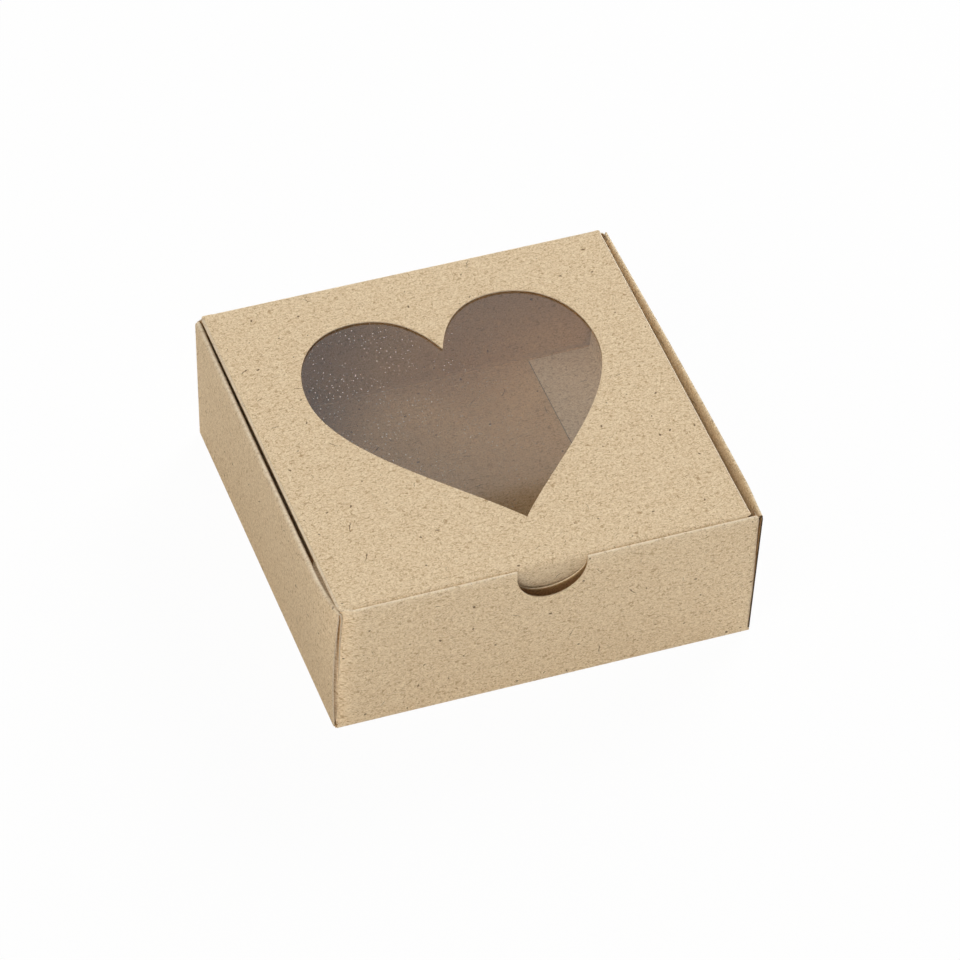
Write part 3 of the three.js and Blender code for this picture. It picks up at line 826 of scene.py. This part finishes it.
def lid_board():
    """The flat lid with its heart window, up to its four creases."""
    left = LID_LEFT - LIFT - LEFT_ROUND - SEAM
    right = LID_RIGHT - LIFT - RIGHT_ROUND - SEAM
    front = LID_FRONT - LIFT - FRONT_ROUND - SEAM
    back = LID_BACK - LIFT - BACK_ROUND - SEAM
    outline = [
        *corner_tab(right, back - BACK_SKEW * right, along_y=BACK_TAB),
        *corner_tab(-left, back + BACK_SKEW * left, LEFT_BACK_TAB, BACK_TAB),
        *corner_tab(-left, -front), *corner_tab(right, -front),
    ]

    def place(u, s):
        return np.column_stack([u, s, np.full(len(u), LID_Z)])

    made = sheet("lid_board", [outline, heart()], ACROSS, ACROSS, place, FACES)
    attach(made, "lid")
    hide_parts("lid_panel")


def tuck_flap_board():
    """The lid's front crease and its tuck flap, which slants in behind the hem."""
    turn = (LID_FRONT - LIFT - FRONT_ROUND, LID_Z - FRONT_ROUND)
    crease = arc(turn, FRONT_ROUND, math.pi / 2, -FLAP_SLANT)
    fall = crease[-1][1] - FLAP_FOOT - LIFT * math.sin(FLAP_SLANT)
    free = crease[-1] + (-fall * math.tan(FLAP_SLANT), -fall)
    hang = Section([*crease, free])
    root = hang.nearest(crease[-1])
    side = LID_RIGHT - FLAP_INSET - STRIP
    free_right = rounded([(side, root + STRIP), (side, hang.end), (0, hang.end)], FLAP_CORNER)[:-1]
    free_left = [(-u, s) for u, s in reversed(free_right)]
    outline = [
        (LID_RIGHT - FLAP_CREASE_INSET, 0), (LID_RIGHT - FLAP_ROOT_INSET, root), *free_right,
        *free_left, (FLAP_ROOT_INSET - LID_RIGHT, root), (FLAP_CREASE_LEFT_INSET - LID_LEFT, 0),
    ]

    def place(u, s):
        y, z = hang.at(s)
        return np.column_stack([u, -y, z])

    origin = (0, LID_FRONT)
    made = sheet("tuck_flap_board", [outline], ACROSS, hang.levels, place, FACES, (), origin, lining_up=True)
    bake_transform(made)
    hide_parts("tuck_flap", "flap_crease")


def ear_board(side):
    """One of the lid's side creases and its ear: shallow beside the tuck flap, deep behind it."""
    edge, radius = (LID_RIGHT, RIGHT_ROUND) if side > 0 else (LID_LEFT, LEFT_ROUND)
    turn = (edge - LIFT - radius, LID_Z - radius)
    crease = arc(turn, radius, math.pi / 2, -EAR_SLANT if side > 0 else -LEFT_EAR_TURN)
    hanging = list(crease)
    if side < 0:
        below = crease[-1][1]
        under = (LID_RIGHT, below - LEFT_EAR_DROP)
        hanging_from = (LID_RIGHT - LEFT_EAR_INSET, below - LEFT_EAR_HANG)
        hanging += rounded([crease[-1], under, hanging_from], LEFT_EAR_BEND)[1:]
    fall = hanging[-1][1] - EAR_FOOT
    hang = Section([*hanging, hanging[-1] + (-fall * math.tan(EAR_SLANT), -fall)])
    root = hang.nearest(crease[-1])
    step = EAR_FRONT + EAR_SHALLOW
    free = rounded([
        (EAR_FRONT + STRIP, root + STRIP), (step, root + STRIP), (step, hang.end),
        (EAR_BACK - EAR_BACK_TAPER, hang.end), (EAR_BACK, root),
    ], EAR_CORNER)
    run = EAR_BACK + CREASE_RUN
    outline = [(run, 0), (EAR_FRONT, 0), (EAR_FRONT, root), *free, (run, root - EAR_ROOT_EASE)]

    def place(u, s):
        x, z = hang.at(s)
        return np.column_stack([side * x, u, z])

    word = "right" if side > 0 else "left"
    name = f"{word}_ear_board"
    origin = (side * EAR_APART, 0)
    made = sheet(
        name, [outline], ACROSS, hang.levels, place, FACES, (EAR_FOLD_AT,), origin, lining_up=side > 0,
        along_grain=True,
    )
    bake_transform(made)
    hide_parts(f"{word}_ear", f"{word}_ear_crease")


def window():
    """The film behind the heart, and the glue that holds it to the lid."""
    low, high = FILM_LOW, FILM_HIGH
    corners = [
        (0, low.y), (high.x, low.y), (high.x, high.y), (low.x, high.y), (low.x, low.y), (-FILM_JOIN, low.y),
    ]
    pane = np.array(rounded(corners, FILM_CORNER))
    underside = LID_Z - LIFT

    def at_height(z):
        return lambda u, s: np.column_stack([u, s, np.full(len(u), z)])

    film_place = at_height(underside - FILM_DROP - FILM / 2)
    film_look = [clear_film("clear_film")]
    film = sheet("window_pane", [pane], ACROSS, ACROSS, film_place, film_look, thickness=FILM)
    ring = [pane * (1 - GLUE_INSET / high.x), heart() * GLUE_HEART]
    glue_place = at_height(underside - FILM_DROP / 2)
    glue_look = [dried_glue("dried_glue")]
    layer = FILM_DROP - 2 * SEAM
    glue = sheet("pane_glue", ring, ACROSS, ACROSS, glue_place, glue_look, thickness=layer)
    for made, slot, stands_for in ((film, "clear_film", "window_film"), (glue, "glue", "film_glue")):
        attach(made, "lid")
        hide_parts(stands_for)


# The studio


def camera():
    """The photograph's viewing angle: azimuth, elevation, roll, distance and lens, for a square picture."""
    azimuth, elevation, roll = math.radians(-22.093), math.radians(45.416), math.radians(3.163)
    target = Vector((0.905, -1.975, 18.286)) * MM
    distance = 1.5264
    level = math.cos(elevation)
    forward = Vector((-math.sin(azimuth) * level, math.cos(azimuth) * level, -math.sin(elevation)))
    flat_right = Vector((math.cos(azimuth), math.sin(azimuth), 0))
    flat_up = flat_right.cross(forward)
    right = math.cos(roll) * flat_right + math.sin(roll) * flat_up
    up = math.cos(roll) * flat_up - math.sin(roll) * flat_right
    data = bpy.data.cameras.new("camera")
    data.sensor_fit = "HORIZONTAL"
    data.sensor_width = 36
    data.lens = 248.93
    data.clip_start = 0.05
    data.clip_end = 20
    made = bpy.data.objects.new("camera", data)
    turned = Matrix((right, up, -forward)).transposed().to_4x4()
    made.matrix_world = Matrix.Translation(target - forward * distance) @ turned
    bpy.context.scene.collection.objects.link(made)
    bpy.context.scene.camera = made


def seen_share(tree):
    """1 for the rays of the camera and of mirrors and glass, and 0 for those that light the object."""
    ray = node(tree, "ShaderNodeLightPath").outputs
    seen = calculated(tree, "MAXIMUM", ray["Is Camera Ray"], ray["Is Glossy Ray"])
    return calculated(tree, "MAXIMUM", seen, ray["Is Transmission Ray"])


def floor():
    """A plain pale floor, which shows white to the camera and keeps a faint shadow."""
    made, tree = new_material("studio_floor")
    diffuse = node(tree, "ShaderNodeBsdfDiffuse", {"Color": (0.82, 0.82, 0.82, 1)}).outputs[0]
    glow = node(tree, "ShaderNodeEmission", {"Color": (1, 1, 1, 1), "Strength": 1.0}).outputs[0]
    share = calculated(tree, "MULTIPLY", seen_share(tree), 0.96)
    shader = node(tree, "ShaderNodeMixShader", {0: share, 1: diffuse, 2: glow}).outputs[0]
    node(tree, "ShaderNodeOutputMaterial", {"Surface": shader})
    reach = 3000.0
    level = -SEAM
    corners = [(-reach, -reach, level), (reach, -reach, level), (reach, reach, level), (-reach, reach, level)]
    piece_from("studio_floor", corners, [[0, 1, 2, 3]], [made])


def sky():
    """A little light all round, which shows as a white studio with a dark gap above its backdrop."""
    world = bpy.data.worlds.new("studio")
    world.use_nodes = True
    tree = world.node_tree
    tree.nodes.clear()
    direction = node(tree, "ShaderNodeTexCoord").outputs["Generated"]
    part = node(tree, "ShaderNodeSeparateXYZ", {"Vector": direction}).outputs
    slope = calculated(tree, "DIVIDE", part["Y"], calculated(tree, "MAXIMUM", part["Z"], 0.001))
    gap = calculated(tree, "MULTIPLY", between(tree, slope, 0.6, 0.62), between(tree, slope, 0.91, 0.906))
    glossy = node(tree, "ShaderNodeLightPath").outputs["Is Glossy Ray"]
    shown = calculated(tree, "SUBTRACT", 1.0, calculated(tree, "MULTIPLY", gap, glossy))
    light = node(tree, "ShaderNodeBackground", {"Color": (1, 1, 1, 1), "Strength": 0.08}).outputs[0]
    backdrop = node(tree, "ShaderNodeBackground", {"Color": (1, 1, 1, 1), "Strength": shown}).outputs[0]
    shader = node(tree, "ShaderNodeMixShader", {0: seen_share(tree), 1: light, 2: backdrop}).outputs[0]
    node(tree, "ShaderNodeOutputWorld", {"Surface": shader})
    bpy.context.scene.world = world


def lamp(name, azimuth, elevation, strength, colour=(1, 1, 1)):
    """A soft square lamp that faces the box. strength is how bright it alone makes a white sheet."""
    distance = 1.5
    around, up = math.radians(azimuth), math.radians(elevation)
    towards = Vector((math.cos(around) * math.cos(up), math.sin(around) * math.cos(up), math.sin(up)))
    data = bpy.data.lights.new(name, "AREA")
    data.size = 0.66
    data.color = colour
    data.energy = strength * (math.pi * distance) ** 2
    made = bpy.data.objects.new(name, data)
    made.location = towards * distance
    made.visible_glossy = False
    made.rotation_euler = towards.to_track_quat("Z", "Y").to_euler()
    bpy.context.scene.collection.objects.link(made)


camera()
floor_board()
side_board(-1)
side_board(1)
front_board()
back_board()
lid_board()
tuck_flap_board()
ear_board(-1)
ear_board(1)
window()
floor()
sky()
lamp("back_light", 40, 36, 0.71)
lamp("low_back_light", 60, 12, 0.35)
lamp("left_light", 210, 36, 0.26, (1.0, 0.85, 0.66))
lamp("low_front_light", 254, 7, 0.35)
lamp("high_left_light", 220, 60, 0.27)

bpy.context.scene.view_settings.view_transform = "Standard"
